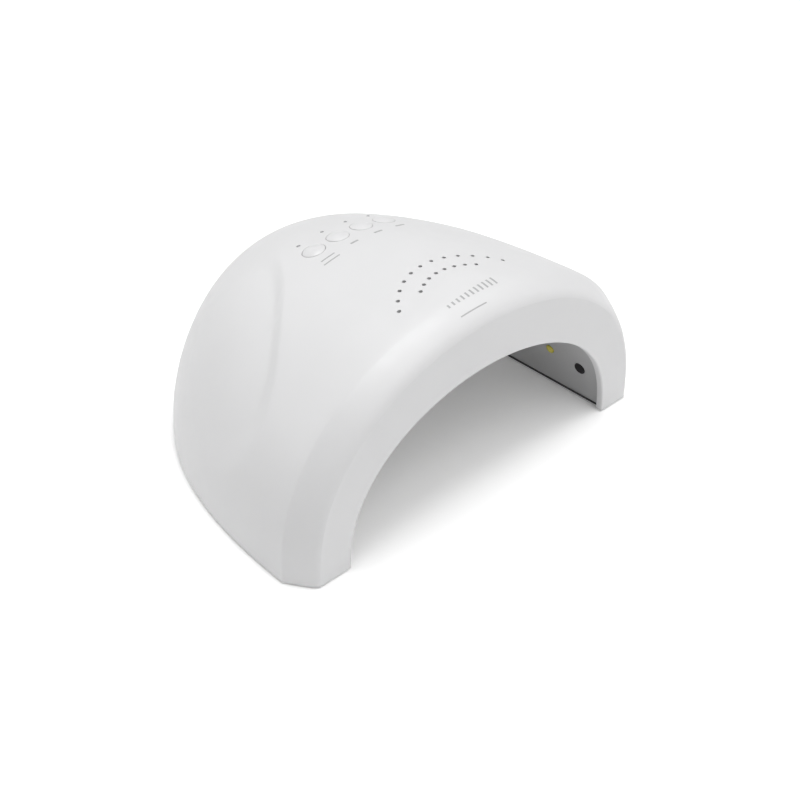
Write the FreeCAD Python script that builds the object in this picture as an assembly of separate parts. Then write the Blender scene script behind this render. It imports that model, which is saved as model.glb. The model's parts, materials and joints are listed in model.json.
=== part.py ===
import FreeCAD, Part
from FreeCAD import Vector
import math
import os

# UV curing lamp: a domed benchtop lamp with an arched hand opening at the front.
# Sizes are in millimetres.  Shapes are modelled with X across the lamp, Y measured back
# from the front face and Z up from the surface that the lamp stands on.  Each node is moved
# once, at export, so that the origin is the middle of the footprint.

# --- Stack at the bottom edge, from the supporting surface up ---
FOOT_LIFT = 1.0                 # the rubber feet hold the base this far up
RIM_Z = FOOT_LIFT               # bottom edge of the shell, level with the base frame
BASE_THICKNESS = 2.2
BASE_TOP_Z = FOOT_LIFT + BASE_THICKNESS
LEDGE_THICKNESS = 0.8           # inner edge of the base frame, under the reflector
LEDGE_Z = FOOT_LIFT + LEDGE_THICKNESS
REFLECTOR_Z = LEDGE_Z + 0.2     # bottom edge of the reflector

# --- Outer shell: outline of the dome ---
FACE_HALF_WIDTH = 102.7         # at the front face
SHELL_HALF_WIDTH = 111.5        # widest, at the end of the flared side facets
FLARE_DEPTH = 13.2              # length of the side facets behind the face
FACE_TOP = 91.6                 # top of the face above the rim
CROWN_TOP = 99.8                # top of the dome above the rim
CROWN_ROLL = 20.0               # the crown rolls down to the face over this length
CROWN_ROLL_POWER = 2.74
DOME_END = 174.4                # where the dome would close to a point
SHELL_DEPTH = 172.0             # the back is cut flat here for the power inlet
PLAN_POWER = 2.33               # roundness of the dome seen from above
SIDE_POWER = 2.97               # roundness of the dome seen from the side
WALL = 2.4                      # shell moulding thickness
FACE_WALL = 2.6                 # thickness of the front face
EDGE_DEPTH = 3.0                # rounding between face and dome
EDGE_DROP = 1.6

# --- Hand opening in the front face ---
ARCH_HALF_WIDTH = 83.7
ARCH_TOP = 67.2                 # above the rim
ARCH_POWER = 2.32
LIP_RADIUS = 0.8                # rounding of the opening's front edge
LIP_THICKNESS = 2.0
LIP_DEPTH = 3.4                 # the lip runs back to here

# --- Side grips: shallow rounded dishes in the shell, drawn on the dome's surface ---
GRIP_Y = 91.0                   # middle of the grip, behind the face
GRIP_RISE = 73.5                # middle of the grip, along the surface from the rim
GRIP_TILT = math.radians(41.5)
GRIP_HALF_LENGTH = 46.0
GRIP_HALF_WIDTH = 29.5
GRIP_POWER = 2.35               # squareness of the grip's outline
GRIP_DEPTH = 1.7
GRIP_DEPTH_CHANGE = 0.5         # deeper than that at the upper side, shallower at the lower
GRIP_UPPER_EDGE = 8.5           # width of the soft slope into the grip
GRIP_LOWER_EDGE = 11.0          # width of the slope that starts at a crease

# --- Reflector: inner tunnel for the hand ---
REFLECTOR_HALF_WIDTH = 86.0     # inside
REFLECTOR_TOP = 68.4            # inside, above its own bottom edge
REFLECTOR_WALL = 1.8
REFLECTOR_FRONT = 3.7
REFLECTOR_BACK = 150.0
SIDE_CLEARANCE = 13.0           # reflector to dome outline, at the sides
TOP_CLEARANCE = 30.8            # reflector to dome outline, at the top

# --- Controls, in one row across the crown ---
CONTROL_X = (-21.8, -7.3, 7.3, 21.8)
BUTTON_Y = 93.5
INDICATOR_Y = 104.7
BUTTON_RADIUS = 5.4
BUTTON_GAP = 0.2                # all round, between button and shell
BUTTON_DOME_HEIGHT = 1.5        # the rounded top stands this far out of the shell
BUTTON_DOME_RADIUS = 10.5
BUTTON_FLANGE_RADIUS = 6.4      # keeps the button from falling out
BUTTON_FLANGE_THICKNESS = 1.0
BUTTON_STEM_RADIUS = 2.2
PLUNGER_RADIUS = 1.75
PLUNGER_TOP_Z = 87.1
LIGHT_PIPE_RADIUS = 0.8

# --- Control board under the controls ---
BOARD_THICKNESS = 1.6
BOARD_TOP_Z = 82.0
BOARD_HALF_WIDTH = 31.0
BOARD_FRONT = 82.0
BOARD_BACK = 112.0
BOARD_SCREW_X = 27.5
BOARD_SCREW_Y = (85.5, 109.0)
SOCKET_X = 27.0
SOCKET_Y = 97.0
SOCKET_HEIGHT = 3.5
ROOF_SOCKET_Y = 102.0
SWITCH_SIZE = 6.0
SWITCH_HEIGHT = 3.6

# --- Air vents: two arcs of small holes in the crown ---
VENT_CENTRE_Y = 4.1
VENT_ROWS = ((38.5, 12), (29.3, 8))     # arc radius and number of holes
VENT_STEP = math.radians(10.2)
VENT_HOLE_RADIUS = 0.95

# --- Lamps: rows of light-emitting diodes shining through the reflector ---
# Each row: name, how far round the arch (0 right rim, 1 left rim), places along Y.
LED_ROWS = (
    ("right_side", 0.077, (36, 56, 76, 96)),
    ("right_shoulder", 0.28, (20, 40, 60, 80, 100)),
    ("roof", 0.5, (18, 34, 50, 66, 82, 98)),
    ("left_shoulder", 0.72, (20, 40, 60, 80, 100)),
    ("left_side", 0.923, (36, 56, 76, 96)),
)
REAR_LED_X = (-28, 0, 28)
REAR_LED_Z = (14, 30)
LED_RADIUS = 2.4
LED_HOLE_RADIUS = 2.7
LED_PROUD = 0.9                 # how far a lamp stands out of the reflector
LED_BOARD_WIDTH = 13.0
LED_BOARD_GAP = 0.6             # the flat board stands off the curved reflector
LED_BOARD_END = 7.0             # board past the last lamp

# --- Hand sensor: a pair facing each other across the opening ---
SENSOR_Y = 16.5
SENSOR_TURN = 0.066            # how far round the arch from the rim
SENSOR_WINDOW_RADIUS = 3.2
SENSOR_BODY_RADIUS = 2.4
SENSOR_BODY_LENGTH = 4.0

# --- Power inlet in the flat at the back: 5.5 mm barrel socket ---
INLET_Z = 15.0
INLET_BORE_RADIUS = 2.85
INLET_BORE_DEPTH = 9.5
INLET_PIN_RADIUS = 1.0
INLET_BARREL_RADIUS = 4.0
INLET_BLOCK = (9.0, 12.0, 11.0)
INLET_BOARD = (22.0, 14.0, 1.2)

# --- Base frame, its screws and feet ---
BASE_INSET = WALL + 0.6         # frame edge inside the shell's outline
BASE_FRONT = LIP_DEPTH + 0.3
BASE_INNER_GAP = 0.3            # the ledge shows inside the reflector by this much
BOSS_RADIUS = 4.4
BOSS_TOP_Z = 16.0
PILOT_RADIUS = 1.25
SCREW_RADIUS = 1.2
SCREW_HEAD_RADIUS = 2.3
SCREW_HEAD_HEIGHT = 1.0
SCREW_LENGTH = 9.0
CLEAR_HOLE_RADIUS = 1.5
FRONT_BOSS = (98.5, 6.6)
RIM_BOSS_Y = (60.0, 164.0)
RIM_BOSS_INSET = 6.2
REFLECTOR_BOSS_Y = (40.0, 86.0)
REFLECTOR_BOSS_X = 90.0
FOOT_RADIUS = 4.2
FOOT_POCKET = 0.6
FOOT_PLACES = ((96.0, 17.0), (85.8, 113.0))
WIRE_RADIUS = 0.6
WIRE_END_Z = BOARD_TOP_Z - BOARD_THICKNESS - 1.8

SECTION_POINTS = 111            # points along one cross-section of the dome
PLAIN_SECTION_POINTS = 37       # the same where there is no fine relief
FINE_STEPS = 1200
SKIRT = 6.0                     # how far cutting tools run past the rim


def smooth_step(value):
    value = min(max(value, 0.0), 1.0)
    return value * value * (3 - 2 * value)


def soft_min(first, second, blend):
    """The smaller of two lengths, with the corner between them rounded."""
    gap = first - second
    return (first + second - math.sqrt(gap * gap + blend * blend)) / 2


def dome_half_width(y):
    if y < FLARE_DEPTH:
        return FACE_HALF_WIDTH + (SHELL_HALF_WIDTH - FACE_HALF_WIDTH) * y / FLARE_DEPTH
    along = (y - FLARE_DEPTH) / (DOME_END - FLARE_DEPTH)
    return SHELL_HALF_WIDTH * (1 - along ** PLAN_POWER) ** (1 / PLAN_POWER)


def dome_top(y):
    if y < CROWN_ROLL:
        ahead = (CROWN_ROLL - y) / CROWN_ROLL
        return CROWN_TOP - (CROWN_TOP - FACE_TOP) * ahead ** CROWN_ROLL_POWER
    along = (y - CROWN_ROLL) / (DOME_END - CROWN_ROLL)
    return CROWN_TOP * (1 - along ** SIDE_POWER) ** (1 / SIDE_POWER)


def dome_power(y):
    """Squareness of the dome's cross-section: 2 is an ellipse, more has fuller shoulders."""
    along = y / DOME_END
    return 2.42 - 1.06 * along + 0.51 * along * along


def slope(function, y):
    return (function(y + 0.05) - function(y - 0.05)) / 0.1


def grip_push(y, rise):
    """How far the shell is pressed in at a place on the dome, for the side grips."""
    back = y - GRIP_Y
    up = rise - GRIP_RISE
    along = (back * math.cos(GRIP_TILT) + up * math.sin(GRIP_TILT)) / GRIP_HALF_LENGTH
    across = (up * math.cos(GRIP_TILT) - back * math.sin(GRIP_TILT)) / GRIP_HALF_WIDTH
    size = (abs(along) ** GRIP_POWER + abs(across) ** GRIP_POWER) ** (1 / GRIP_POWER)
    outside = (size - 1) * GRIP_HALF_WIDTH
    lower = smooth_step(0.5 - across)
    edge = GRIP_UPPER_EDGE + (GRIP_LOWER_EDGE - GRIP_UPPER_EDGE) * lower
    inward = min(max(0.5 - outside / edge, 0.0), 1.0)
    soft = smooth_step(inward)
    creased = 1 - (1 - inward) ** 2
    return (GRIP_DEPTH + GRIP_DEPTH_CHANGE * across) * (soft + (creased - soft) * lower)


def arch_points(half_width, height, power, count):
    """Arch from the right rim over the top to the left rim, evenly spaced along its length."""
    fine = []
    for step in range(FINE_STEPS + 1):
        angle = math.pi * step / FINE_STEPS
        rise = abs(math.sin(angle)) ** (2 / power) if 0 < step < FINE_STEPS else 0.0
        fine.append((half_width * math.cos(angle), height * rise))
    lengths = [0.0]
    for before, after in zip(fine, fine[1:]):
        lengths.append(lengths[-1] + math.dist(before, after))
    points = []
    low = 0
    for index in range(count):
        wanted = lengths[-1] * index / (count - 1)
        while low < FINE_STEPS - 1 and lengths[low + 1] < wanted:
            low += 1
        part = (wanted - lengths[low]) / (lengths[low + 1] - lengths[low])
        part = min(max(part, 0.0), 1.0)
        points.append(tuple(a + (b - a) * part for a, b in zip(fine[low], fine[low + 1])))
    return points, lengths[-1]


def dome_section(y, inset):
    """One cross-section of the dome, moved in by a wall thickness and pressed in at the grips."""
    half_width = dome_half_width(y) - inset * math.hypot(1, slope(dome_half_width, y))
    height = dome_top(y) - inset * math.hypot(1, slope(dome_top, y))
    if inset == 0 and y < EDGE_DEPTH:
        drop = EDGE_DROP * (1 - math.sqrt(1 - (1 - y / EDGE_DEPTH) ** 2))
        half_width -= drop
        height -= drop
    points, length = arch_points(half_width, height, dome_power(y), SECTION_POINTS)
    last = SECTION_POINTS - 1
    pressed = []
    for index, (x, z) in enumerate(points):
        before = points[max(index - 1, 0)]
        after = points[min(index + 1, last)]
        span = math.dist(before, after)
        rise = length * min(index, last - index) / last
        push = grip_push(y, rise)
        x -= push * (after[1] - before[1]) / span
        z += push * (after[0] - before[0]) / span
        pressed.append(Vector(x, y, RIM_Z + z))
    return pressed


def section_curve(points):
    spacing = [index / (len(points) - 1) for index in range(len(points))]
    curve = Part.BSplineCurve()
    curve.interpolate(Points=points, Parameters=spacing)
    return curve


def skin_surface(sections):
    """Smooth surface through a row of cross-sections, U along the row and V round the arch."""
    curves = [section_curve(points) for points in sections]
    quarter = len(sections[0]) // 4
    lengths = [0.0]
    for before, after in zip(sections, sections[1:]):
        steps = [before[index].distanceToPoint(after[index]) for index in (0, quarter, 2 * quarter)]
        lengths.append(lengths[-1] + max(steps))
    along = [length / lengths[-1] for length in lengths]
    rows = [curve.getPoles() for curve in curves]
    columns = []
    for column in zip(*rows):
        line = Part.BSplineCurve()
        line.interpolate(Points=list(column), Parameters=along)
        columns.append(line)
    poles = [list(row) for row in zip(*[line.getPoles() for line in columns])]
    surface = Part.BSplineSurface()
    surface.buildFromPolesMultsKnots(
        poles, columns[0].getMultiplicities(), curves[0].getMultiplicities(),
        columns[0].getKnots(), curves[0].getKnots(), False, False,
        columns[0].Degree, curves[0].Degree)
    return surface


def flat_face(edges):
    return Part.Face(Part.Wire(Part.__sortEdges__(edges)))


class ArchBody:
    """Faces of a body made of arch-shaped cross-sections, with straight legs below if wanted."""

    def __init__(self, sections, skirt=0.0):
        surface = skin_surface(sections)
        self.top = surface.toShape()
        right = surface.vIso(0).toShape()
        left = surface.vIso(1).toShape()
        down = Vector(0, 0, -skirt)
        self.legs = []
        if skirt > 0:
            self.legs = [right.extrude(down), left.extrude(down)]
        self.ends = []
        floor_edges = [edge.translated(down) for edge in (right, left)]
        for end, points in ((0, sections[0]), (1, sections[-1])):
            low_right = points[0] + down
            low_left = points[-1] + down
            edges = [surface.uIso(end).toShape(), Part.makeLine(low_left, low_right)]
            if skirt > 0:
                edges += [Part.makeLine(points[0], low_right), Part.makeLine(points[-1], low_left)]
            self.ends.append(flat_face(edges))
            floor_edges.append(Part.makeLine(low_left, low_right))
        self.floor_edges = floor_edges

    def floor(self):
        return flat_face(self.floor_edges)

    def solid(self):
        return closed_solid([self.top, self.floor()] + self.ends + self.legs)


def closed_solid(faces):
    shell = Part.makeShell(faces)
    shell.sewShape(1e-4)
    solid = Part.Solid(shell.Shells[0] if shell.ShapeType != "Shell" else shell)
    if solid.Volume < 0:
        solid.reverse()
    return solid


def arch_solid(stations, section, skirt=0.0):
    return ArchBody([section(y) for y in stations], skirt).solid()


def spread(start, end, count):
    return [start + (end - start) * index / count for index in range(count)]


def dome_stations(start, end):
    """Places along Y for the dome's cross-sections, closer together where it curves more."""
    edge = [EDGE_DEPTH * (1 - math.cos(math.pi / 2 * step / 5)) for step in range(5)]
    stations = edge + spread(EDGE_DEPTH, 12, 4) + [12, 13.2, 14.4, 17, 21, 26, 32, 38]
    stations += spread(43, 133, 32) + spread(133, 160, 8) + [160, 163, 165.5, 167.5, 169, 170.3]
    return [start] + [y for y in stations if start + 0.4 < y < end - 0.4] + [end]


def vertical_cylinder(x, y, low, high, radius):
    return Part.makeCylinder(radius, high - low, Vector(x, y, low))


def centred_box(x, y, low, size):
    """Box centred on x and y, standing on low."""
    return Part.makeBox(size[0], size[1], size[2], Vector(x - size[0] / 2, y - size[1] / 2, low))


def dome_z(x, y):
    half_width = dome_half_width(y)
    return RIM_Z + dome_top(y) * (1 - (x / half_width) ** 2) ** (1 / dome_power(y))


def dome_normal(x, y):
    step = 0.05
    slope_x = (dome_z(x + step, y) - dome_z(x - step, y)) / (2 * step)
    slope_y = (dome_z(x, y + step) - dome_z(x, y - step)) / (2 * step)
    return Vector(-slope_x, -slope_y, 1).normalize()


def rim_place(y, inset):
    """Place on the right side of the footprint, moved in from the shell's outline."""
    lean = slope(dome_half_width, y)
    size = math.hypot(1, lean)
    return dome_half_width(y) - inset / size, y + inset * lean / size


def both_sides(places):
    return [(side * x, y) for x, y in places for side in (1, -1)]


def boss_places():
    sides = [rim_place(y, RIM_BOSS_INSET) for y in RIM_BOSS_Y]
    return both_sides([FRONT_BOSS] + sides)


def reflector_boss_places():
    return both_sides([(REFLECTOR_BOSS_X, y) for y in REFLECTOR_BOSS_Y])


def board_screw_places():
    return both_sides([(BOARD_SCREW_X, y) for y in BOARD_SCREW_Y])


# --- Outer shell ---

def hollow_dome():
    """The shell's walls, open underneath: outer and inner skins joined by the rim."""
    outer = ArchBody([dome_section(y, 0) for y in dome_stations(0, SHELL_DEPTH)])
    inner_stations = dome_stations(FACE_WALL, SHELL_DEPTH - WALL)
    inner = ArchBody([dome_section(y, WALL) for y in inner_stations])
    rim = Part.makeFace([outer.floor().OuterWire, inner.floor().OuterWire],
                        "Part::FaceMakerBullseye")
    faces = [outer.top, inner.top, rim] + outer.ends + inner.ends
    return closed_solid(faces)


def opening_section(y):
    """Hand opening, flared at its front edge."""
    flare = 0.0
    if y < LIP_RADIUS:
        flare = LIP_RADIUS * (1 - math.sqrt(1 - (1 - max(y, 0) / LIP_RADIUS) ** 2))
    points, _ = arch_points(ARCH_HALF_WIDTH + flare, ARCH_TOP + flare, ARCH_POWER,
                            PLAIN_SECTION_POINTS)
    return [Vector(x, y, RIM_Z + z) for x, z in points]


def opening_cutter():
    rounding = [LIP_RADIUS * (1 - math.cos(math.pi / 2 * step / 4)) for step in range(5)]
    return arch_solid(rounding + [LIP_DEPTH, LIP_DEPTH + 3], opening_section, SKIRT)


def lip_collar():
    """Collar behind the front face, around the hand opening."""
    def section(y):
        points, _ = arch_points(ARCH_HALF_WIDTH + LIP_THICKNESS, ARCH_TOP + LIP_THICKNESS,
                                ARCH_POWER, PLAIN_SECTION_POINTS)
        return [Vector(x, y, RIM_Z + z) for x, z in points]
    return arch_solid([FACE_WALL / 2, FACE_WALL, LIP_DEPTH], section)


def shell_bosses():
    bosses = [vertical_cylinder(x, y, BASE_TOP_Z + 0.1, BOSS_TOP_Z, BOSS_RADIUS)
              for x, y in boss_places()]
    for x, y in board_screw_places():
        bosses.append(vertical_cylinder(x, y, BOARD_TOP_Z, dome_z(x, y) - WALL / 2 - 0.1, 2.6))
    return bosses


def vent_places():
    places = []
    for radius, count in VENT_ROWS:
        for index in range(count):
            turn = (index - (count - 1) / 2) * VENT_STEP
            places.append((radius * math.sin(turn), VENT_CENTRE_Y + radius * math.cos(turn)))
    return places


def shell_holes():
    top = CROWN_TOP + 10
    holes = [vertical_cylinder(x, y, BASE_TOP_Z, BOSS_TOP_Z - 2, PILOT_RADIUS)
             for x, y in boss_places()]
    holes += [vertical_cylinder(x, y, BOARD_TOP_Z - 1, BOARD_TOP_Z + 5, PILOT_RADIUS)
              for x, y in board_screw_places()]
    holes += [vertical_cylinder(x, y, 90, top, VENT_HOLE_RADIUS) for x, y in vent_places()]
    for x in CONTROL_X:
        holes.append(vertical_cylinder(x, BUTTON_Y, 86, top, BUTTON_RADIUS + BUTTON_GAP))
        holes.append(vertical_cylinder(x, INDICATOR_Y, 86, top, LIGHT_PIPE_RADIUS + 0.15))
    holes.append(Part.makeCylinder(INLET_BARREL_RADIUS + 0.2, 10,
                                   Vector(0, SHELL_DEPTH - 5, INLET_Z), Vector(0, 1, 0)))
    return holes


def outer_shell():
    shell = hollow_dome()
    shell = shell.fuse([lip_collar()] + shell_bosses())
    shell = shell.cut([opening_cutter()] + shell_holes())
    return shell


# --- Reflector ---

def reflector_half_width(y):
    return soft_min(REFLECTOR_HALF_WIDTH, dome_half_width(max(y, 30)) - SIDE_CLEARANCE, 1.5)


def reflector_top(y):
    return soft_min(REFLECTOR_TOP, dome_top(max(y, 30)) - TOP_CLEARANCE, 1.5)


def reflector_section(y, grow):
    points, _ = arch_points(reflector_half_width(y) + grow, reflector_top(y) + grow,
                            ARCH_POWER, PLAIN_SECTION_POINTS)
    return [Vector(x, y, REFLECTOR_Z + z) for x, z in points]


def reflector_stations(start, end):
    middle = [10, 30, 50, 70, 80, 88, 94, 100, 106, 112, 118, 124, 130, 136, 141, 145]
    return [start] + [y for y in middle if start < y < end] + [end]


def reflector_place(turn, y, grow):
    """Point on the reflector part of the way round the arch, with the direction out of it."""
    count = 1001
    points, _ = arch_points(reflector_half_width(y) + grow, reflector_top(y) + grow,
                            ARCH_POWER, count)
    index = round(turn * (count - 1))
    x, z = points[index]
    span = math.dist(points[index - 1], points[index + 1])
    out_x = (points[index + 1][1] - points[index - 1][1]) / span
    out_z = -(points[index + 1][0] - points[index - 1][0]) / span
    return Vector(x, y, REFLECTOR_Z + z), Vector(out_x, 0, out_z)


def rod(place, direction, start, end, radius):
    """Cylinder along a direction, from one distance to another from a place."""
    return Part.makeCylinder(radius, end - start, place + direction * start, direction)


def reflector_bosses():
    return [vertical_cylinder(x, y, BASE_TOP_Z + 0.1, 14, 3.0) for x, y in reflector_boss_places()]


def reflector_holes():
    holes = []
    for _, turn, places in LED_ROWS:
        for y in places:
            place, out = reflector_place(turn, y, 0)
            holes.append(rod(place, out, -4, 5, LED_HOLE_RADIUS))
    for x in REAR_LED_X:
        for z in REAR_LED_Z:
            holes.append(rod(Vector(x, REFLECTOR_BACK, z), Vector(0, 1, 0), -4, 4, LED_HOLE_RADIUS))
    for turn in (SENSOR_TURN, 1 - SENSOR_TURN):
        place, out = reflector_place(turn, SENSOR_Y, 0)
        holes.append(rod(place, out, -4, 5, SENSOR_WINDOW_RADIUS + 0.1))
    holes += [vertical_cylinder(x, y, BASE_TOP_Z, 12, PILOT_RADIUS)
              for x, y in reflector_boss_places()]
    return holes


def reflector():
    outer = arch_solid(reflector_stations(REFLECTOR_FRONT, REFLECTOR_BACK),
                       lambda y: reflector_section(y, REFLECTOR_WALL))
    outer = outer.fuse(reflector_bosses())
    inner = arch_solid(reflector_stations(REFLECTOR_FRONT - 3, REFLECTOR_BACK - REFLECTOR_WALL),
                       lambda y: reflector_section(y, 0), SKIRT)
    return outer.cut([inner] + reflector_holes())


# --- Lamps ---

def led_bead(place, out, board_distance):
    """One lamp: a short barrel from its board, ending in a low dome inside the reflector."""
    barrel = rod(place, out, -LED_PROUD + 0.6, board_distance, LED_RADIUS)
    ball_radius = (LED_RADIUS ** 2 + 0.6 ** 2) / (2 * 0.6)
    centre = place + out * (ball_radius - LED_PROUD)
    ball = Part.makeSphere(ball_radius, centre)
    tip = rod(place, out, -LED_PROUD - 1, -LED_PROUD + 0.61, LED_RADIUS)
    return barrel.fuse(ball.common(tip)).removeSplitter()


def led_row(turn, places):
    distance = REFLECTOR_WALL + LED_BOARD_GAP
    beads = []
    for y in places:
        place, out = reflector_place(turn, y, 0)
        beads.append(led_bead(place, out, distance))
    return beads


def led_board(turn, places):
    """Flat strip behind one row of lamps."""
    place, out = reflector_place(turn, places[0], 0)
    length = places[-1] - places[0] + 2 * LED_BOARD_END
    board = Part.makeBox(LED_BOARD_WIDTH, length, BOARD_THICKNESS,
                         Vector(-LED_BOARD_WIDTH / 2, -LED_BOARD_END, 0))
    board.rotate(Vector(0, 0, 0), Vector(0, 1, 0), math.degrees(math.atan2(out.x, out.z)))
    board.translate(place + out * (REFLECTOR_WALL + LED_BOARD_GAP))
    return board


def rear_board_y():
    return REFLECTOR_BACK + LED_BOARD_GAP


def rear_led_board():
    return Part.makeBox(74, BOARD_THICKNESS, 30, Vector(-37, rear_board_y(), 7))


def rear_leds():
    beads = []
    for x in REAR_LED_X:
        for z in REAR_LED_Z:
            place = Vector(x, REFLECTOR_BACK - REFLECTOR_WALL, z)
            beads.append(led_bead(place, Vector(0, 1, 0), REFLECTOR_WALL + LED_BOARD_GAP))
    return beads


# --- Hand sensor ---

def sensor_parts(turn):
    place, out = reflector_place(turn, SENSOR_Y, 0)
    window = rod(place, out, -0.2, REFLECTOR_WALL, SENSOR_WINDOW_RADIUS)
    body_start = REFLECTOR_WALL + 0.2
    body = rod(place, out, body_start, body_start + SENSOR_BODY_LENGTH, SENSOR_BODY_RADIUS)
    board = Part.makeBox(12, 14, 1.2, Vector(-6, -7, 0))
    board.rotate(Vector(0, 0, 0), Vector(0, 1, 0), math.degrees(math.atan2(out.x, out.z)))
    board.translate(place + out * (body_start + SENSOR_BODY_LENGTH))
    return window, body, board


# --- Buttons and switches ---

def button_cap(x):
    surface = Vector(x, BUTTON_Y, dome_z(x, BUTTON_Y))
    normal = dome_normal(x, BUTTON_Y)
    flange_top = surface - normal * (WALL + 0.45)
    post = vertical_cylinder(x, BUTTON_Y, flange_top.z - 0.5, surface.z + 3, BUTTON_RADIUS)
    ball = Part.makeSphere(BUTTON_DOME_RADIUS,
                           surface + normal * (BUTTON_DOME_HEIGHT - BUTTON_DOME_RADIUS))
    flange = rod(flange_top, normal, -BUTTON_FLANGE_THICKNESS, 0, BUTTON_FLANGE_RADIUS)
    stem = vertical_cylinder(x, BUTTON_Y, PLUNGER_TOP_Z, flange_top.z, BUTTON_STEM_RADIUS)
    return post.common(ball).fuse([flange, stem])


def switch_plunger(x):
    return vertical_cylinder(x, BUTTON_Y, BOARD_TOP_Z + 2.6, PLUNGER_TOP_Z, PLUNGER_RADIUS)


def switch_body(x):
    block = centred_box(x, BUTTON_Y, BOARD_TOP_Z, (SWITCH_SIZE, SWITCH_SIZE, SWITCH_HEIGHT))
    well = vertical_cylinder(x, BUTTON_Y, BOARD_TOP_Z + 1.6, BOARD_TOP_Z + 5, PLUNGER_RADIUS + 0.1)
    return block.cut(well)


def light_pipe(x):
    return vertical_cylinder(x, INDICATOR_Y, BOARD_TOP_Z + 1.0, dome_z(x, INDICATOR_Y),
                             LIGHT_PIPE_RADIUS)


def indicator_led(x):
    return centred_box(x, INDICATOR_Y, BOARD_TOP_Z, (2.0, 1.25, 0.9))


# --- Control board ---

def control_board():
    depth = BOARD_BACK - BOARD_FRONT
    board = centred_box(0, (BOARD_FRONT + BOARD_BACK) / 2, BOARD_TOP_Z - BOARD_THICKNESS,
                        (2 * BOARD_HALF_WIDTH, depth, BOARD_THICKNESS))
    corners = [edge for edge in board.Edges if abs(edge.Length - BOARD_THICKNESS) < 0.01]
    board = board.makeFillet(2.0, corners)
    return board.cut([vertical_cylinder(x, y, BOARD_TOP_Z - 5, BOARD_TOP_Z + 5, CLEAR_HOLE_RADIUS)
                      for x, y in board_screw_places()])


def microcontroller():
    return centred_box(0, 107.5, BOARD_TOP_Z, (6.0, 5.0, 1.5))


def led_drivers():
    return [centred_box(x, 107.5, BOARD_TOP_Z, (5.0, 4.0, 1.6)) for x in (-14.5, 14.5)]


def capacitors():
    low = BOARD_TOP_Z - BOARD_THICKNESS - 3.0
    return [Part.makeCylinder(3.0, 10, Vector(x, 92, low), Vector(0, 1, 0)) for x in (-16, 16)]


def wire_sockets():
    """Sockets under the control board: one for each side, and one that plugs into the roof strip."""
    under = BOARD_TOP_Z - BOARD_THICKNESS
    sides = [centred_box(x, SOCKET_Y, under - SOCKET_HEIGHT, (5, 12, SOCKET_HEIGHT))
             for x in (-SOCKET_X, SOCKET_X)]
    strip_top = REFLECTOR_Z + REFLECTOR_TOP + REFLECTOR_WALL + LED_BOARD_GAP + BOARD_THICKNESS
    middle = centred_box(0, ROOF_SOCKET_Y, strip_top, (20, 5, under - strip_top))
    return sides + [middle]


# --- Power inlet ---

def inlet_body():
    width, depth, height = INLET_BLOCK
    block_back = SHELL_DEPTH - WALL - 0.2
    block = Part.makeBox(width, depth, height,
                         Vector(-width / 2, block_back - depth, INLET_Z - height / 2))
    barrel = Part.makeCylinder(INLET_BARREL_RADIUS, SHELL_DEPTH - block_back + 0.5,
                               Vector(0, block_back - 0.5, INLET_Z), Vector(0, 1, 0))
    bore = Part.makeCylinder(INLET_BORE_RADIUS, INLET_BORE_DEPTH + 1,
                             Vector(0, SHELL_DEPTH - INLET_BORE_DEPTH, INLET_Z), Vector(0, 1, 0))
    return block.fuse(barrel).cut(bore)


def inlet_pin():
    start = SHELL_DEPTH - INLET_BORE_DEPTH
    return Part.makeCylinder(INLET_PIN_RADIUS, INLET_BORE_DEPTH - 1.5,
                             Vector(0, start, INLET_Z), Vector(0, 1, 0))


def inlet_board_low():
    return INLET_Z - INLET_BLOCK[2] / 2 - INLET_BOARD[2]


def inlet_board_y():
    return SHELL_DEPTH - WALL - 1.2 - INLET_BOARD[1] / 2


def inlet_post_places():
    return both_sides([(INLET_BOARD[0] / 2 - 3.0, inlet_board_y())])


def inlet_board():
    board = centred_box(0, inlet_board_y(), inlet_board_low(), INLET_BOARD)
    return board.cut([vertical_cylinder(x, y, 0, 20, CLEAR_HOLE_RADIUS)
                      for x, y in inlet_post_places()])


# --- Base frame ---

def plan_face(width_function, start, end, z):
    """Flat outline on the floor plan, mirrored about the middle of the lamp."""
    count = 40
    stations = [start + (end - start) * index / count for index in range(count + 1)]
    right = [Vector(width_function(y), y, z) for y in stations]
    left = [Vector(-point.x, point.y, z) for point in right]
    right_edge = Part.BSplineCurve()
    right_edge.interpolate(right)
    left_edge = Part.BSplineCurve()
    left_edge.interpolate(left)
    edges = [Part.makeLine(left[0], right[0]), right_edge.toShape(),
             Part.makeLine(right[-1], left[-1]), left_edge.toShape()]
    return Part.Face(Part.Wire(Part.__sortEdges__(edges)))


def plan_slab(width_function, start, end, low, high):
    return plan_face(width_function, start, end, low).extrude(Vector(0, 0, high - low))


def dome_edge(inset):
    def half_width(y):
        return dome_half_width(y) - inset * math.hypot(1, slope(dome_half_width, y))
    return half_width


def base_frame():
    plate = plan_slab(dome_edge(BASE_INSET), BASE_FRONT, SHELL_DEPTH - BASE_INSET,
                      FOOT_LIFT, BASE_TOP_Z)
    reflector_seat = plan_slab(lambda y: reflector_half_width(y) + REFLECTOR_WALL + 0.3,
                               -1, REFLECTOR_BACK + 0.3, LEDGE_Z, BASE_TOP_Z)
    hand_gap = plan_slab(lambda y: reflector_half_width(y) - BASE_INNER_GAP,
                         -1, REFLECTOR_BACK - REFLECTOR_WALL - 0.5, 0, BASE_TOP_Z)
    posts = [vertical_cylinder(x, y, BASE_TOP_Z - 0.5, inlet_board_low(), 2.4)
             for x, y in inlet_post_places()]
    return plate.cut([reflector_seat, hand_gap]).fuse(posts).cut(base_holes())


def base_screw_places():
    return boss_places() + reflector_boss_places()


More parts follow.
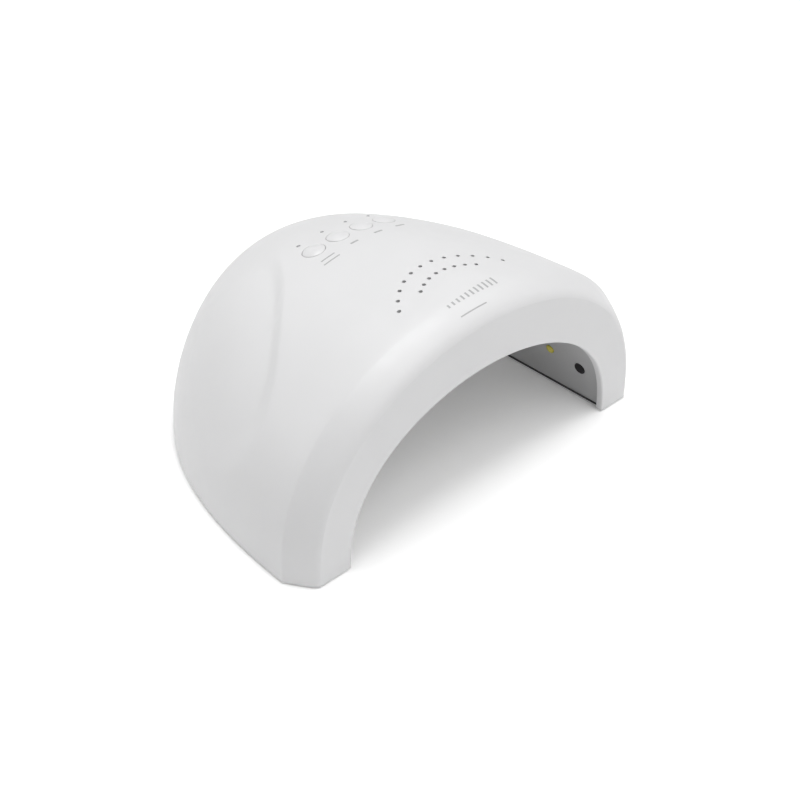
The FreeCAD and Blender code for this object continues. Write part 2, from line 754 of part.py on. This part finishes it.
def base_holes():
    holes = []
    for x, y in base_screw_places():
        holes.append(vertical_cylinder(x, y, 0, BASE_TOP_Z + 1, CLEAR_HOLE_RADIUS))
        holes.append(vertical_cylinder(x, y, 0, FOOT_LIFT + SCREW_HEAD_HEIGHT + 0.1,
                                       SCREW_HEAD_RADIUS + 0.2))
    for x, y in both_sides(FOOT_PLACES):
        holes.append(vertical_cylinder(x, y, 0, FOOT_LIFT + FOOT_POCKET, FOOT_RADIUS + 0.1))
    for x, y in inlet_post_places():
        holes.append(vertical_cylinder(x, y, FOOT_LIFT + 1, inlet_board_low() + 1, PILOT_RADIUS))
    return holes


def rubber_feet():
    feet = []
    for x, y in both_sides(FOOT_PLACES):
        foot = vertical_cylinder(x, y, 0, FOOT_LIFT + FOOT_POCKET, FOOT_RADIUS)
        bottom_edge = [edge for edge in foot.Edges if edge.CenterOfMass.z < 0.01]
        feet.append(foot.makeFillet(0.4, bottom_edge))
    return feet


def screw(x, y, seat_z, length, upward):
    """Pan-head screw with a cross recess.  Its shank goes up or down from the seat."""
    way = 1 if upward else -1
    direction = Vector(0, 0, way)
    seat = Vector(x, y, seat_z)
    head = rod(seat, direction, -SCREW_HEAD_HEIGHT, 0, SCREW_HEAD_RADIUS)
    shank = rod(seat, direction, -0.2, length, SCREW_RADIUS)
    face_z = seat_z - way * SCREW_HEAD_HEIGHT
    recess = [centred_box(x, y, face_z - 0.5, (size_x, size_y, 1.0))
              for size_x, size_y in ((2.8, 0.6), (0.6, 2.8))]
    return head.fuse(shank).cut(recess)


def screws(places, seat_z, length, upward):
    return [screw(x, y, seat_z, length, upward) for x, y in places]


# --- Internal wires ---

def wire_path(points):
    """Straight runs joined by tangent arcs, each as large as its two runs allow."""
    edges = []
    start = points[0]
    for before, corner, after in zip(points, points[1:], points[2:]):
        back = before - corner
        ahead = after - corner
        reach = 0.45 * min(back.Length, ahead.Length)
        back.normalize()
        ahead.normalize()
        arc_start = corner + back * reach
        arc_end = corner + ahead * reach
        turn = math.pi - back.getAngle(ahead)
        radius = reach / math.tan(turn / 2)
        middle_way = (back + ahead).normalize()
        centre_distance = math.hypot(radius, reach)
        arc_middle = corner + middle_way * (centre_distance - radius)
        edges.append(Part.makeLine(start, arc_start))
        edges.append(Part.Arc(arc_start, arc_middle, arc_end).toShape())
        start = arc_end
    edges.append(Part.makeLine(start, points[-1]))
    return Part.Wire(edges)


def wire(points):
    points = [Vector(*point) for point in points]
    path = wire_path(points)
    ring = Part.Wire(Part.makeCircle(WIRE_RADIUS, points[0], points[1] - points[0]))
    return path.makePipeShell([ring], True, True)


def twin_wire(points, spacing):
    """Two wires side by side, apart by a spacing vector."""
    first = [tuple(a + b / 2 for a, b in zip(point, spacing)) for point in points]
    second = [tuple(a - b / 2 for a, b in zip(point, spacing)) for point in points]
    return [wire(first), wire(second)]


def inlet_wires():
    """From the inlet board up behind the reflector to the control board."""
    route = ((0, 155.6, 9.6), (0, 155.6, 24), (0, 153.8, 39), (0, 147.5, 54), (0, 136, 66),
             (0, 122, 73.8), (0, 105, WIRE_END_Z))
    return twin_wire(route, (2.4, 0, 0))


def rear_led_wires():
    """From the top of the rear strip over the reflector to the control board."""
    route = ((7, 153.0, 29), (7, 153.2, 42), (7, 146, 54.5), (7, 135, 64.5), (7, 121.5, 73),
             (7, 105, WIRE_END_Z))
    return twin_wire(route, (2.4, 0, 0))


def row_wires(side):
    """Wires for the two rows of lamps on one side, ending at the side socket."""
    end_x = SOCKET_X + 2.6
    shoulder = ((54.15, 101, 61.3), (56.2, 101, 65.2), (54, 101, 70.5), (46, 101, 75.5),
                (37, 100.7, 78.2), (end_x, 100.5, WIRE_END_Z))
    low = ((87.65, 97, 21.9), (91, 97.5, 23.2), (88.6, 98.5, 32), (82, 99.5, 42),
           (72.5, 100, 54), (62, 99.5, 64), (51, 98, 72), (40, 95.8, 77),
           (end_x, 94.5, WIRE_END_Z))
    wires = []
    for route in (shoulder, low):
        placed = [(side * x, y, z) for x, y, z in route]
        wires += twin_wire(placed, (0, 1.8, 0))
    return wires


def sensor_wires():
    """From each sensor board back to the strip of lamps beside it."""
    route = ((90.9, 23.7, 19.6), (90.8, 27, 19.9), (88.9, 30.5, 21.5), (88.55, 35, 21.95))
    wires = []
    for side in (1, -1):
        wires += twin_wire([(side * x, y, z) for x, y, z in route], (0, 0, 1.8))
    return wires


def whole(pieces):
    return Part.makeCompound(pieces)


def nodes():
    """Every piece of the lamp, by name."""
    parts = {}
    parts["outer_shell"] = outer_shell()
    parts["reflector"] = reflector()
    parts["base_frame"] = base_frame()
    parts["rubber_feet"] = whole(rubber_feet())
    seat = FOOT_LIFT + SCREW_HEAD_HEIGHT
    parts["base_screws"] = whole(screws(boss_places(), seat, SCREW_LENGTH, True))
    parts["reflector_screws"] = whole(screws(reflector_boss_places(), seat, SCREW_LENGTH, True))
    for number, x in enumerate(CONTROL_X, 1):
        parts[f"button_cap_{number}"] = button_cap(x)
        parts[f"switch_plunger_{number}"] = switch_plunger(x)
        parts[f"switch_body_{number}"] = switch_body(x)
    parts["indicator_light_pipes"] = whole([light_pipe(x) for x in CONTROL_X])
    parts["indicator_leds"] = whole([indicator_led(x) for x in CONTROL_X])
    parts["control_board"] = control_board()
    parts["control_board_screws"] = whole(
        screws(board_screw_places(), BOARD_TOP_Z - BOARD_THICKNESS, 5.0, True))
    parts["microcontroller"] = microcontroller()
    parts["led_drivers"] = whole(led_drivers())
    parts["capacitors"] = whole(capacitors())
    parts["wire_sockets"] = whole(wire_sockets())
    for name, turn, places in LED_ROWS:
        parts[f"{name}_led_board"] = led_board(turn, places)
        parts[f"{name}_leds"] = whole(led_row(turn, places))
    parts["rear_led_board"] = rear_led_board()
    parts["rear_leds"] = whole(rear_leds())
    for name, turn in (("right", SENSOR_TURN), ("left", 1 - SENSOR_TURN)):
        window, body, board = sensor_parts(turn)
        parts[f"{name}_sensor_window"] = window
        parts[f"{name}_sensor_diode"] = body
        parts[f"{name}_sensor_board"] = board
    parts["power_inlet_body"] = inlet_body()
    parts["power_inlet_pin"] = inlet_pin()
    parts["power_inlet_board"] = inlet_board()
    parts["power_inlet_screws"] = whole(
        screws(inlet_post_places(), inlet_board_low() + INLET_BOARD[2], 4.0, False))
    parts["power_wires"] = whole(inlet_wires())
    parts["rear_led_wires"] = whole(rear_led_wires())
    parts["right_row_wires"] = whole(row_wires(1))
    parts["left_row_wires"] = whole(row_wires(-1))
    parts["sensor_wires"] = whole(sensor_wires())
    return parts


def main():
    os.makedirs("parts", exist_ok=True)
    to_middle = Vector(0, -SHELL_DEPTH / 2, 0)
    for name, shape in nodes().items():
        shape.translate(to_middle)
        shape.exportStep(os.path.join("parts", name + ".step"))
        print(f"{name}: {len(shape.Solids)} solid(s), {shape.Volume / 1000:.2f} cm3, "
              f"valid {shape.isValid()}")


main()
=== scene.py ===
import json
import math

import bmesh
import bpy
from mathutils import Matrix, Vector
from mathutils.bvhtree import BVHTree


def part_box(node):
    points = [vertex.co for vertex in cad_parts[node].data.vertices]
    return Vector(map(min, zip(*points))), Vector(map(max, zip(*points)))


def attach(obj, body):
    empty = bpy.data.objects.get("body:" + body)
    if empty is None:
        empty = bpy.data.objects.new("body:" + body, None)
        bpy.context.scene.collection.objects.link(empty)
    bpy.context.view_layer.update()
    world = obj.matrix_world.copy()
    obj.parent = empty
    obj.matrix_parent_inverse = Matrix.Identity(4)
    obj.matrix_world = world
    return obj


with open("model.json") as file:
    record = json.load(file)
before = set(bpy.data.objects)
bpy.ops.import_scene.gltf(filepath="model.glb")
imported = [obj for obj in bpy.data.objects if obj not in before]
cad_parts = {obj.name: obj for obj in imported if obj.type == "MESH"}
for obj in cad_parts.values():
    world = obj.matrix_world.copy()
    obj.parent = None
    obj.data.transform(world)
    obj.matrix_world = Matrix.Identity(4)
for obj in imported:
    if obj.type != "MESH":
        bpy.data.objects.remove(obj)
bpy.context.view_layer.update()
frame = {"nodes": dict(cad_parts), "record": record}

MM = 0.001

# --- Camera: its place in metres, and the azimuth and elevation that it looks from ---
CAMERA_PLACE = (-0.35283, -0.40132, 0.38852)
CAMERA_AZIMUTH = math.radians(-43.33)
CAMERA_ELEVATION = math.radians(35.79)
CAMERA_ROLL = math.radians(0.19)
CAMERA_LENS = 58.65             # in millimetres, as is the sensor's width
CAMERA_SENSOR = 36.0

# --- Studio: soft round lamps, each with its azimuth, elevation and power ---
# Azimuth 0 is the front, 90 the right, 180 the back. All the light comes from the lamps and the floor.
LAMP_DISTANCE = 1.8
LAMP_SIZE = 1.1
LAMPS = (
    ("over", 0, 90, 23.0),
    ("front_high", 0, 55, 9.0),
    ("right_high", 60, 55, 6.0),
    ("back_left", 225, 25, 5.5),
    ("back", 180, 25, 3.5),
)
FLOOR_GLOW = 0.14
FLOOR_FLAT = 2.8                # metres from the middle to where the floor starts to rise
FLOOR_CURVE = 1.2
FLOOR_WALL = 0.3
FLOOR_SIDES = 96
FLAT_RINGS = 4
CURVE_RINGS = 12

# --- Printed marks on the shell, in millimetres ---
PRINT_HEIGHT = 0.03             # how far the ink stands above the shell
PRINT_ROOT = 0.15               # how far its closed back reaches into the shell
PRINT_STEP = 0.8                # about the size of one face of a mark
SEARCH_HEIGHT = 10.0            # how far over the shell the search for its surface starts

# Each line: its left and right ends from the middle, its distance behind the front face, its width.
BUTTON_MARKS = (
    ("button_1_mark_long", -27.9, -18.6, 79.0, 0.8),
    ("button_1_mark", -26.8, -18.8, 82.4, 0.8),
    ("button_2_mark", -9.3, -4.8, 82.0, 1.2),
    ("button_3_mark", 5.3, 10.1, 82.0, 1.2),
    ("button_4_mark", 18.8, 24.2, 82.0, 1.2),
)
# The scale: bars that grow longer from left to right, all starting at one distance behind the face.
SCALE_START = -16.8
SCALE_END = 13.0
SCALE_BARS = 11
SCALE_BASE_Y = 10.8
SCALE_LOW = 1.8
SCALE_HIGH = 4.6
SCALE_BAR_WIDTH = 1.0
UNDERLINE = ("scale_underline", -15.2, 0.2, 5.3, 0.5)

# Every piece gets its material here, so the ones that came with the frame go.
for imported in list(bpy.data.materials):
    bpy.data.materials.remove(imported)


# ---------------------------------------------------------------- material tools

NOISE_LOW = 0.35                # nearly all values of the noise lie between these two
NOISE_HIGH = 0.65
PLASTIC_GLOSS_CHANGE = 0.1      # how much the roughness varies, as a share of it
METAL_GLOSS_CHANGE = 0.25


def new_material(name):
    made = bpy.data.materials.new(name)
    made.use_nodes = True
    tree = made.node_tree
    return made, tree, tree.nodes["Principled BSDF"]


def noise(tree, size, detail=2.0):
    """Noise whose blotches are about size metres across, fixed to the piece."""
    place = tree.nodes.new("ShaderNodeTexCoord")
    texture = tree.nodes.new("ShaderNodeTexNoise")
    texture.inputs["Scale"].default_value = 1.0 / size
    texture.inputs["Detail"].default_value = detail
    tree.links.new(place.outputs["Object"], texture.inputs["Vector"])
    return texture.outputs["Fac"]


def colour_between(tree, factor, low, high, low_at=NOISE_LOW, high_at=NOISE_HIGH):
    """Fades from one colour to another while the factor goes from low_at to high_at."""
    ramp = tree.nodes.new("ShaderNodeValToRGB")
    ramp.color_ramp.elements[0].position = low_at
    ramp.color_ramp.elements[0].color = (*low, 1)
    ramp.color_ramp.elements[1].position = high_at
    ramp.color_ramp.elements[1].color = (*high, 1)
    tree.links.new(factor, ramp.inputs["Fac"])
    return ramp.outputs["Color"]


def value_between(tree, factor, low, high):
    """Goes from one value to another over the range that noise covers."""
    spread = tree.nodes.new("ShaderNodeMapRange")
    spread.inputs["From Min"].default_value = NOISE_LOW
    spread.inputs["From Max"].default_value = NOISE_HIGH
    spread.inputs["To Min"].default_value = low
    spread.inputs["To Max"].default_value = high
    tree.links.new(factor, spread.inputs["Value"])
    return spread.outputs["Result"]


def add_bump(tree, shader, height, depth):
    """Relief from a height between 0 and 1, depth metres deep."""
    bump = tree.nodes.new("ShaderNodeBump")
    bump.inputs["Strength"].default_value = 1.0
    bump.inputs["Distance"].default_value = depth
    tree.links.new(height, bump.inputs["Height"])
    tree.links.new(bump.outputs["Normal"], shader.inputs["Normal"])


def scaled(colour, factor):
    return tuple(channel * factor for channel in colour)


def moulded(name, colour, roughness, tone_change=0.02, tone_size=0.03,
            grain_size=0.0006, grain_depth=0.00001, coat=0.0, specular=0.5):
    """Moulded plastic: a slight change of tone, an uneven gloss and a fine grain."""
    made, tree, shader = new_material(name)
    tone = noise(tree, tone_size)
    tree.links.new(colour_between(tree, tone, scaled(colour, 1 - tone_change), colour),
                   shader.inputs["Base Color"])
    patch = noise(tree, tone_size / 4)
    uneven = value_between(tree, patch, roughness * (1 - PLASTIC_GLOSS_CHANGE),
                           roughness * (1 + PLASTIC_GLOSS_CHANGE))
    tree.links.new(uneven, shader.inputs["Roughness"])
    add_bump(tree, shader, noise(tree, grain_size), grain_depth)
    shader.inputs["Coat Weight"].default_value = coat
    shader.inputs["Specular IOR Level"].default_value = specular
    return made


def metal(name, colour, roughness, scratch_size=0.0004):
    """Bare metal: an uneven gloss from fine scratches."""
    made, tree, shader = new_material(name)
    patch = noise(tree, 0.002)
    tree.links.new(colour_between(tree, patch, scaled(colour, 0.9), colour),
                   shader.inputs["Base Color"])
    scratches = noise(tree, scratch_size, 4.0)
    uneven = value_between(tree, scratches, roughness * (1 - METAL_GLOSS_CHANGE),
                           roughness * (1 + METAL_GLOSS_CHANGE))
    tree.links.new(uneven, shader.inputs["Roughness"])
    shader.inputs["Metallic"].default_value = 1.0
    add_bump(tree, shader, scratches, 0.000004)
    return made


def clear_plastic(name, colour, roughness):
    """Cloudy clear plastic that carries light."""
    made = moulded(name, colour, roughness, 0.05, 0.002)
    shader = made.node_tree.nodes["Principled BSDF"]
    shader.inputs["Transmission Weight"].default_value = 0.25
    shader.inputs["IOR"].default_value = 1.49
    return made


def laminate(name, colour, copper, cells_per_metre=450.0):
    """Circuit board: lacquer over the faint pattern of its copper."""
    made, tree, shader = new_material(name)
    cells = tree.nodes.new("ShaderNodeTexVoronoi")
    cells.distance = "MANHATTAN"
    cells.inputs["Scale"].default_value = cells_per_metre
    place = tree.nodes.new("ShaderNodeTexCoord")
    tree.links.new(place.outputs["Object"], cells.inputs["Vector"])
    tree.links.new(colour_between(tree, cells.outputs["Distance"], colour, copper, 0.45, 0.5),
                   shader.inputs["Base Color"])
    tree.links.new(value_between(tree, noise(tree, 0.004), 0.25, 0.4), shader.inputs["Roughness"])
    add_bump(tree, shader, cells.outputs["Distance"], 0.00002)
    return made


# ---------------------------------------------------------------- materials

SHELL_WHITE = (0.70, 0.70, 0.705)
MATERIALS = {
    "shell_plastic": moulded("shell_plastic", SHELL_WHITE, 0.46, 0.01),
    "button_plastic": moulded("button_plastic", SHELL_WHITE, 0.40, 0.01),
    "reflector_plastic": moulded("reflector_plastic", (0.47, 0.47, 0.475), 0.35),
    # Near-black base plastic. Its colour is also painted shade: where its edge shows under the
    # reflector, it draws the dark line of shade along the foot of the inner wall.
    "base_plastic": moulded("base_plastic", (0.02, 0.02, 0.022), 0.45, 0.1),
    "feet_rubber": moulded("feet_rubber", (0.03, 0.03, 0.03), 0.8, 0.2, 0.003,
                           grain_size=0.0004, grain_depth=0.00003),
    "screw_steel": metal("screw_steel", (0.55, 0.55, 0.57), 0.3),
    "plunger_plastic": moulded("plunger_plastic", (0.03, 0.03, 0.03), 0.5, 0.1, 0.002),
    "switch_plastic": moulded("switch_plastic", (0.05, 0.05, 0.05), 0.5, 0.1, 0.004),
    "light_pipe": clear_plastic("light_pipe", (0.50, 0.50, 0.51), 0.25),
    "indicator_diode": moulded("indicator_diode", (0.80, 0.85, 0.90), 0.2, 0.1, 0.001),
    "chip_resin": moulded("chip_resin", (0.03, 0.03, 0.033), 0.6, 0.1, 0.002),
    "capacitor_can": metal("capacitor_can", (0.68, 0.68, 0.70), 0.25),
    "socket_plastic": moulded("socket_plastic", (0.78, 0.75, 0.66), 0.45, 0.04, 0.006),
    "window_filter": moulded("window_filter", (0.008, 0.006, 0.008), 0.25, 0.3, 0.004, specular=0.15),
    "control_laminate": laminate("control_laminate", (0.03, 0.16, 0.07), (0.08, 0.26, 0.13)),
    "lamp_board": laminate("lamp_board", (0.80, 0.80, 0.78), (0.66, 0.66, 0.64)),
    "lamp_phosphor": moulded("lamp_phosphor", (0.74, 0.64, 0.06), 0.25, 0.15, 0.001, coat=0.6),
    "inlet_plastic": moulded("inlet_plastic", (0.02, 0.02, 0.02), 0.4, 0.1, 0.004),
    "contact_metal": metal("contact_metal", (0.80, 0.70, 0.45), 0.18),
    "wire_insulation": moulded("wire_insulation", (0.55, 0.05, 0.04), 0.4, 0.08, 0.006),
}
PRINT_INK = moulded("print_ink", (0.42, 0.42, 0.425), 0.5, 0.06, 0.001)


def dress_cad_nodes():
    """Gives each node of the frame the material of its slot."""
    for part in frame["record"]["subparts"]:
        piece = frame["nodes"][part["node"]]
        for slot in piece.material_slots:
            slot.material = MATERIALS[part["material_slot"]]


# ---------------------------------------------------------------- printed marks

class ShellTop:
    """Finds places on the top of the shell, given in millimetres from its middle and its face."""

    def __init__(self):
        shape = bmesh.new()
        shape.from_mesh(frame["nodes"]["outer_shell"].data)
        self.tree = BVHTree.FromBMesh(shape)
        shape.free()
        low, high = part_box("outer_shell")
        self.front = low.y
        self.above = high.z + SEARCH_HEIGHT * MM

    def place(self, x, y):
        start = Vector((x * MM, self.front + y * MM, self.above))
        spot, normal, _, _ = self.tree.ray_cast(start, Vector((0, 0, -1)))
        return spot, normal


def printed_patch(name, shell_top, x_range, y_range):
    """A thin rectangle of ink that follows the shell, closed all round."""
    columns = max(1, round((x_range[1] - x_range[0]) / PRINT_STEP))
    rows = max(1, round((y_range[1] - y_range[0]) / PRINT_STEP))
    shape = bmesh.new()
    root = []
    top = []
    for row in range(rows + 1):
        y = y_range[0] + (y_range[1] - y_range[0]) * row / rows
        for column in range(columns + 1):
            x = x_range[0] + (x_range[1] - x_range[0]) * column / columns
            spot, normal = shell_top.place(x, y)
            root.append(shape.verts.new(spot - normal * PRINT_ROOT * MM))
            top.append(shape.verts.new(spot + normal * PRINT_HEIGHT * MM))
    wide = columns + 1
    # Faces over and under, then a strip of faces round the border.
    for row in range(rows):
        for column in range(columns):
            corner = row * wide + column
            ring = (corner, corner + 1, corner + wide + 1, corner + wide)
            shape.faces.new([top[index] for index in ring])
            shape.faces.new([root[index] for index in reversed(ring)])
    border = list(range(wide))
    border += [row * wide + columns for row in range(1, rows + 1)]
    border += [rows * wide + column for column in range(columns - 1, -1, -1)]
    border += [row * wide for row in range(rows - 1, 0, -1)]
    for here, ahead in zip(border, border[1:] + border[:1]):
        shape.faces.new((root[here], root[ahead], top[ahead], top[here]))
    mesh = bpy.data.meshes.new(name)
    shape.to_mesh(mesh)
    shape.free()
    mesh.materials.append(PRINT_INK)
    made = bpy.data.objects.new(name, mesh)
    bpy.context.scene.collection.objects.link(made)
    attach(made, "housing")


def printed_line(shell_top, name, start, end, y, width):
    printed_patch(name, shell_top, (start, end), (y - width / 2, y + width / 2))


def printed_marks():
    """A line by each button, and a plain rising scale near the front edge."""
    shell_top = ShellTop()
    for mark in BUTTON_MARKS:
        printed_line(shell_top, *mark)
    printed_line(shell_top, *UNDERLINE)
    pitch = (SCALE_END - SCALE_START - SCALE_BAR_WIDTH) / (SCALE_BARS - 1)
    for index in range(SCALE_BARS):
        left = SCALE_START + pitch * index
        tall = SCALE_LOW + (SCALE_HIGH - SCALE_LOW) * index / (SCALE_BARS - 1)
        printed_patch(f"scale_bar_{index + 1}", shell_top, (left, left + SCALE_BAR_WIDTH),
                      (SCALE_BASE_Y, SCALE_BASE_Y + tall))


# ---------------------------------------------------------------- studio

def floor():
    """Paper floor that rises into a low wall all round."""
    profile = [(FLOOR_FLAT * ring / FLAT_RINGS, 0.0) for ring in range(1, FLAT_RINGS + 1)]
    for ring in range(1, CURVE_RINGS + 1):
        rise = math.pi / 2 * ring / CURVE_RINGS
        profile.append((FLOOR_FLAT + FLOOR_CURVE * math.sin(rise), FLOOR_CURVE * (1 - math.cos(rise))))
    profile.append((FLOOR_FLAT + FLOOR_CURVE, FLOOR_CURVE + FLOOR_WALL))
    turns = [2 * math.pi * side / FLOOR_SIDES for side in range(FLOOR_SIDES)]
    shape = bmesh.new()
    rings = []
    for radius, height in profile:
        rings.append([shape.verts.new((radius * math.cos(turn), radius * math.sin(turn), height))
                      for turn in turns])
    shape.faces.new(rings[0])
    for inner, outer in zip(rings, rings[1:]):
        for side in range(FLOOR_SIDES):
            ahead = (side + 1) % FLOOR_SIDES
            shape.faces.new((inner[side], outer[side], outer[ahead], inner[ahead]))
    for face in shape.faces:
        face.smooth = True
    mesh = bpy.data.meshes.new("floor")
    shape.to_mesh(mesh)
    shape.free()
    paper = moulded("floor_paper", (0.95, 0.95, 0.95), 0.9, 0.01, 0.2)
    shader = paper.node_tree.nodes["Principled BSDF"]
    shader.inputs["Emission Color"].default_value = (1, 1, 1, 1)
    shader.inputs["Emission Strength"].default_value = FLOOR_GLOW
    mesh.materials.append(paper)
    made = bpy.data.objects.new("floor", mesh)
    bpy.context.scene.collection.objects.link(made)


def direction(azimuth, elevation):
    """Unit vector from the object towards an azimuth and an elevation, in radians."""
    flat = math.cos(elevation)
    return Vector((math.sin(azimuth) * flat, -math.cos(azimuth) * flat, math.sin(elevation)))


def studio_light():
    world = bpy.data.worlds.new("studio")
    world.use_nodes = True
    world.node_tree.nodes["Background"].inputs["Strength"].default_value = 0.0
    bpy.context.scene.world = world
    for name, azimuth, elevation, power in LAMPS:
        light = bpy.data.lights.new(name, "AREA")
        light.shape = "DISK"
        light.size = LAMP_SIZE
        light.energy = power
        lamp = bpy.data.objects.new(name, light)
        towards = direction(math.radians(azimuth), math.radians(elevation))
        lamp.location = towards * LAMP_DISTANCE
        lamp.rotation_mode = "QUATERNION"
        lamp.rotation_quaternion = towards.to_track_quat("Z", "Y")
        bpy.context.scene.collection.objects.link(lamp)


def camera():
    data = bpy.data.cameras.new("camera")
    data.lens = CAMERA_LENS
    data.sensor_width = CAMERA_SENSOR
    data.clip_start = 0.01
    data.clip_end = 20.0
    made = bpy.data.objects.new("camera", data)
    back = direction(CAMERA_AZIMUTH, CAMERA_ELEVATION)
    level = Vector((math.cos(CAMERA_AZIMUTH), math.sin(CAMERA_AZIMUTH), 0))
    upright = back.cross(level)
    right = level * math.cos(CAMERA_ROLL) + upright * math.sin(CAMERA_ROLL)
    up = upright * math.cos(CAMERA_ROLL) - level * math.sin(CAMERA_ROLL)
    made.matrix_world = (Matrix.Translation(CAMERA_PLACE)
                         @ Matrix((right, up, back)).transposed().to_4x4())
    bpy.context.scene.collection.objects.link(made)
    bpy.context.scene.camera = made


dress_cad_nodes()
printed_marks()
floor()
studio_light()
camera()
bpy.context.scene.view_settings.view_transform = "Standard"
